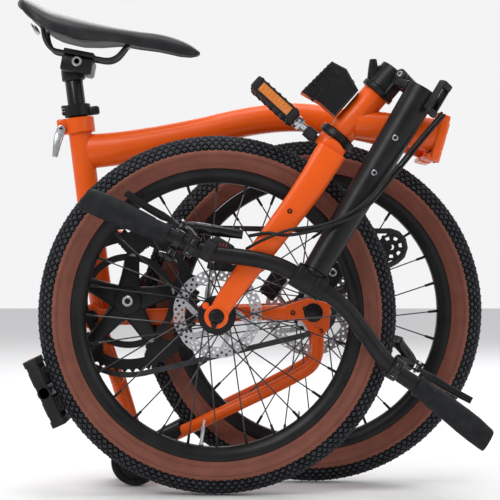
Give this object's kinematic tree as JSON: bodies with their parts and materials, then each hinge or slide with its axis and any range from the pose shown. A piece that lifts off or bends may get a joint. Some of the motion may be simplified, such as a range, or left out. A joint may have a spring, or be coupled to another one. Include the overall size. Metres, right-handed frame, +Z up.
{
  "type": "folding bicycle",
  "caption": "Folding city bicycle with small wheels, folded flat so that it stands on its wheels and transport rollers; it unfolds at the frame, rear triangle and handlepost.",
  "frame": {"origin": "middle of the folded bicycle's base, on the floor", "axes": "+Z up, +X towards the rear frame half's front, +Y to its left side, away from the chain"},
  "size_m": [0.697, 0.3178, 0.7255],
  "materials": {
    "orange": "gloss",
    "black": "satin",
    "steel": "satin",
    "dark": "satin",
    "rubber": "matt",
    "tyre": "matt",
    "saddle": "matt",
    "plastic": "matt"
  },
  "bodies": {
    "frame": {"main_frame": "orange", "seat_clamp": "orange"},
    "seat": {"seatpost": "black", "post_collar": "black", "saddle_clamp": "black", "saddle_rails": "dark", "saddle": "saddle"},
    "seat_lever": {"seat_clamp_lever": "steel"},
    "frame_clamp": {"frame_clamp_lever": "black"},
    "rear_triangle": {"rear_frame": "orange", "rear_pivot_bolt": "dark", "rear_axle": "black", "rear_brake_caliper": "black", "suspension_block": "rubber", "tensioner_body": "dark", "chain": "steel"},
    "rear_wheel": {"rear_tyre": "tyre", "rear_rim": "black", "rear_spokes": "dark", "rear_hub": "black", "rear_brake_disc": "steel"},
    "tensioner": {"tensioner_arm": "dark"},
    "pulley": {"tensioner_pulley": "plastic"},
    "right_roller": {"roller_right": "plastic"},
    "left_roller": {"roller_left": "plastic"},
    "crankset": {"bottom_bracket_axle": "steel", "right_crank": "black", "left_crank": "black", "chainring": "black", "right_pedal_spindle": "steel"},
    "right_pedal": {"right_pedal_platform": "plastic"},
    "front_half": {"front_frame_half": "orange", "luggage_block": "plastic", "lower_headset_ring": "black"},
    "stowed_pedal": {"stowed_pedal_platform": "plastic"},
    "steering": {"fork": "orange", "front_axle": "black", "front_brake_caliper": "black", "handlepost_base": "black", "pedal_holder": "plastic", "stowed_pedal_spindle": "steel"},
    "front_wheel": {"front_tyre": "tyre", "front_rim": "black", "front_spokes": "dark", "front_hub": "black", "front_brake_disc": "steel"},
    "cockpit": {"handlepost": "black", "bar_clamp": "black", "handlebar": "black", "grip_right": "rubber", "grip_left": "rubber", "brake_perch_right": "black", "brake_perch_left": "black", "shifter": "plastic", "bell": "plastic", "brake_hose": "rubber"},
    "latch": {"handlepost_latch": "dark"},
    "right_lever": {"brake_lever_right": "dark"},
    "left_lever": {"brake_lever_left": "dark"},
    "shift_lever": {"shifter_lever": "plastic"}
  },
  "joints": [
    {"name": "main_fold", "type": "hinge", "parent": "frame", "child": "front_half", "pos_m": [0.2755, 0.0124, 0.508], "axis": [0.2756, 0, 0.9613], "range_deg": [0, 180]},
    {"name": "steer_turn", "type": "hinge", "parent": "front_half", "child": "steering", "pos_m": [0.1215, -0.0576, 0.508], "axis": [0.6561, 0, 0.7547], "range_deg": [-180, 0]},
    {"name": "front_wheel_spin", "type": "hinge", "parent": "steering", "child": "front_wheel", "pos_m": [-0.0485, -0.0576, 0.257], "axis": [0, 1, 0], "continuous": true},
    {"name": "rear_fold", "type": "hinge", "parent": "frame", "child": "rear_triangle", "pos_m": [-0.2375, 0.0824, 0.249], "axis": [0, 1, 0], "range_deg": [0, 180], "deforming": ["chain"]},
    {"name": "rear_wheel_spin", "type": "hinge", "parent": "rear_triangle", "child": "rear_wheel", "pos_m": [0.0915, 0.0824, 0.257], "axis": [0, 1, 0], "continuous": true},
    {"name": "crank_turn", "type": "hinge", "parent": "frame", "child": "crankset", "pos_m": [-0.1815, 0.0824, 0.274], "axis": [0, 1, 0], "range_deg": [0, 70]},
    {"name": "right_pedal_spin", "type": "hinge", "parent": "crankset", "child": "right_pedal", "pos_m": [-0.2937, 0.0024, 0.14628], "axis": [0, 1, 0], "range_deg": [-3, 3]},
    {"name": "stowed_pedal_spin", "type": "hinge", "parent": "steering", "child": "stowed_pedal", "pos_m": [0.0725, -0.0576, 0.527], "axis": [-0.7413, 0, 0.6712], "range_deg": [-25, 25]},
    {"name": "tensioner_swing", "type": "hinge", "parent": "rear_triangle", "child": "tensioner", "pos_m": [0.1205, 0.0374, 0.316], "axis": [0, 1, 0], "range_deg": [-5, 20], "stiffness_Nm_per_rad": 2},
    {"name": "pulley_spin", "type": "hinge", "parent": "tensioner", "child": "pulley", "pos_m": [0.2045, 0.0374, 0.3536], "axis": [0, 1, 0], "continuous": true},
    {"name": "roller_spin_right", "type": "hinge", "parent": "rear_triangle", "child": "right_roller", "pos_m": [-0.1715, 0.0364, 0.036], "axis": [0, 1, 0], "continuous": true},
    {"name": "roller_spin_left", "type": "hinge", "parent": "rear_triangle", "child": "left_roller", "pos_m": [-0.1715, 0.1284, 0.036], "axis": [0, 1, 0], "continuous": true},
    {"name": "seatpost_slide", "type": "slide", "parent": "frame", "child": "seat", "axis": [-0.123, 0, 0.9924], "range_m": [0, 0.2]},
    {"name": "seat_clamp_lever_turn", "type": "hinge", "parent": "frame", "child": "seat_lever", "pos_m": [-0.28384, 0.0824, 0.53], "axis": [0, 1, 0], "range_deg": [0, 90]},
    {"name": "frame_clamp_turn", "type": "hinge", "parent": "frame", "child": "frame_clamp", "pos_m": [0.27358, 0.1144, 0.50855], "axis": [0.2756, 0, 0.9613], "range_deg": [-90, 0]},
    {"name": "handlepost_fold", "type": "hinge", "parent": "steering", "child": "cockpit", "pos_m": [0.22211, -0.08097, 0.58805], "axis": [0.5521, 0.7055, -0.4443], "range_deg": [-168.9, 0]},
    {"name": "handlepost_latch_turn", "type": "hinge", "parent": "cockpit", "child": "latch", "pos_m": [0.25179, -0.12479, 0.55461], "axis": [0.5521, 0.7055, -0.4443], "range_deg": [0, 20]},
    {"name": "brake_lever_pull_right", "type": "hinge", "parent": "cockpit", "child": "right_lever", "pos_m": [-0.09922, -0.10555, 0.3848], "axis": [-0.5128, -0.0978, -0.8529], "range_deg": [-12, 0], "stiffness_Nm_per_rad": 1},
    {"name": "brake_lever_pull_left", "type": "hinge", "parent": "cockpit", "child": "left_lever", "pos_m": [0.23322, -0.10369, 0.18474], "axis": [-0.5128, -0.0978, -0.8529], "range_deg": [0, 12], "stiffness_Nm_per_rad": 1},
    {"name": "shifter_click", "type": "hinge", "parent": "cockpit", "child": "shift_lever", "pos_m": [-0.04679, -0.11809, 0.34381], "axis": [-0.5128, -0.0978, -0.8529], "range_deg": [0, 15], "stiffness_Nm_per_rad": 0.5}
  ],
  "couplings": [
    {"joint": "steer_turn", "follows": "main_fold", "ratio": -1},
    {"joint": "rear_fold", "follows": "main_fold", "ratio": 1},
    {"joint": "handlepost_fold", "follows": "main_fold", "ratio": -0.93833}
  ]
}
